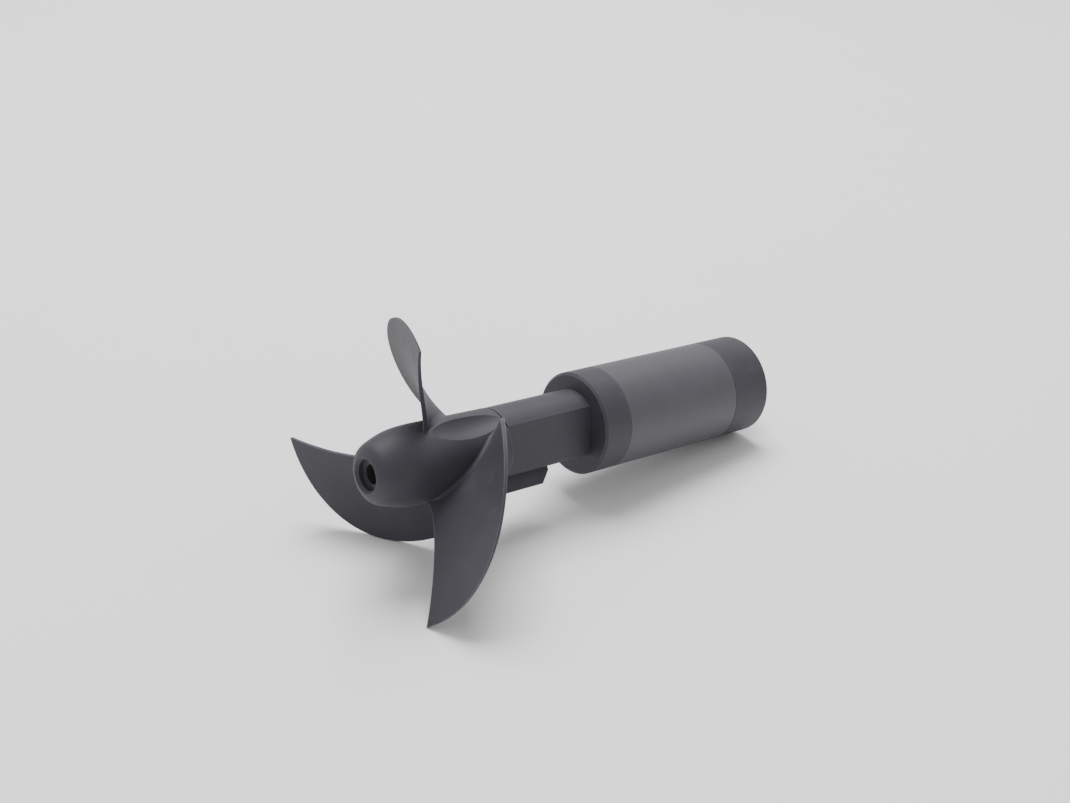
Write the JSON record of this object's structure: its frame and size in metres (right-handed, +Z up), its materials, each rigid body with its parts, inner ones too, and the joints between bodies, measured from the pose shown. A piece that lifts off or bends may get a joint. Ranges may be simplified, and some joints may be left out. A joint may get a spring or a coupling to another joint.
{
  "type": "wave maker pump rotor",
  "caption": "Propeller rotor of an aquarium wave maker pump: bladed propeller, dog clutch and magnet cylinder on a ceramic shaft.",
  "frame": {"origin": "on the shaft line, in the middle of the magnet end's length", "axes": "+Z up as the rotor lies on a table, the nose towards +X with the shaft line pitched 7.4 degrees nose up, +Y to the left of the nose"},
  "size_m": [0.0846, 0.045, 0.0416],
  "materials": {
    "propeller_plastic": "satin moulded",
    "cap_plastic": "satin moulded",
    "inner_plastic": "plain moulded",
    "bush_plastic": "turned",
    "washer_plastic": "turned",
    "pad_rubber": "matt moulded",
    "ferrite": "ground, matt",
    "ceramic": "ground ceramic"
  },
  "bodies": {
    "magnet_rotor": {"drive_cap": "cap_plastic", "drive_dog": "cap_plastic", "clutch_pad_1": "pad_rubber", "clutch_pad_2": "pad_rubber", "magnet": "ferrite", "magnet_carrier": "inner_plastic", "rear_cap": "cap_plastic", "front_bush": "bush_plastic", "rear_bush": "bush_plastic", "front_thrust_washer": "washer_plastic", "rear_thrust_washer": "washer_plastic"},
    "propeller": {"propeller_hub": "propeller_plastic", "propeller_blade_1": "propeller_plastic", "propeller_blade_2": "propeller_plastic", "propeller_blade_3": "propeller_plastic", "hub_core": "inner_plastic", "nose_bush": "bush_plastic", "hub_rear_bush": "bush_plastic", "clutch_jaw": "propeller_plastic"},
    "shaft": {"ceramic_shaft": "ceramic"}
  },
  "joints": [
    {"name": "propeller_slip", "type": "hinge", "parent": "magnet_rotor", "child": "propeller", "pos_m": [0.03615, 0, 0.00468], "axis": [0.9917, 0, 0.1284], "range_deg": [-75, 0]},
    {"name": "shaft_spin", "type": "hinge", "parent": "magnet_rotor", "child": "shaft", "pos_m": [0.01909, 0, 0.00247], "axis": [0.9917, 0, 0.1284], "continuous": true}
  ]
}
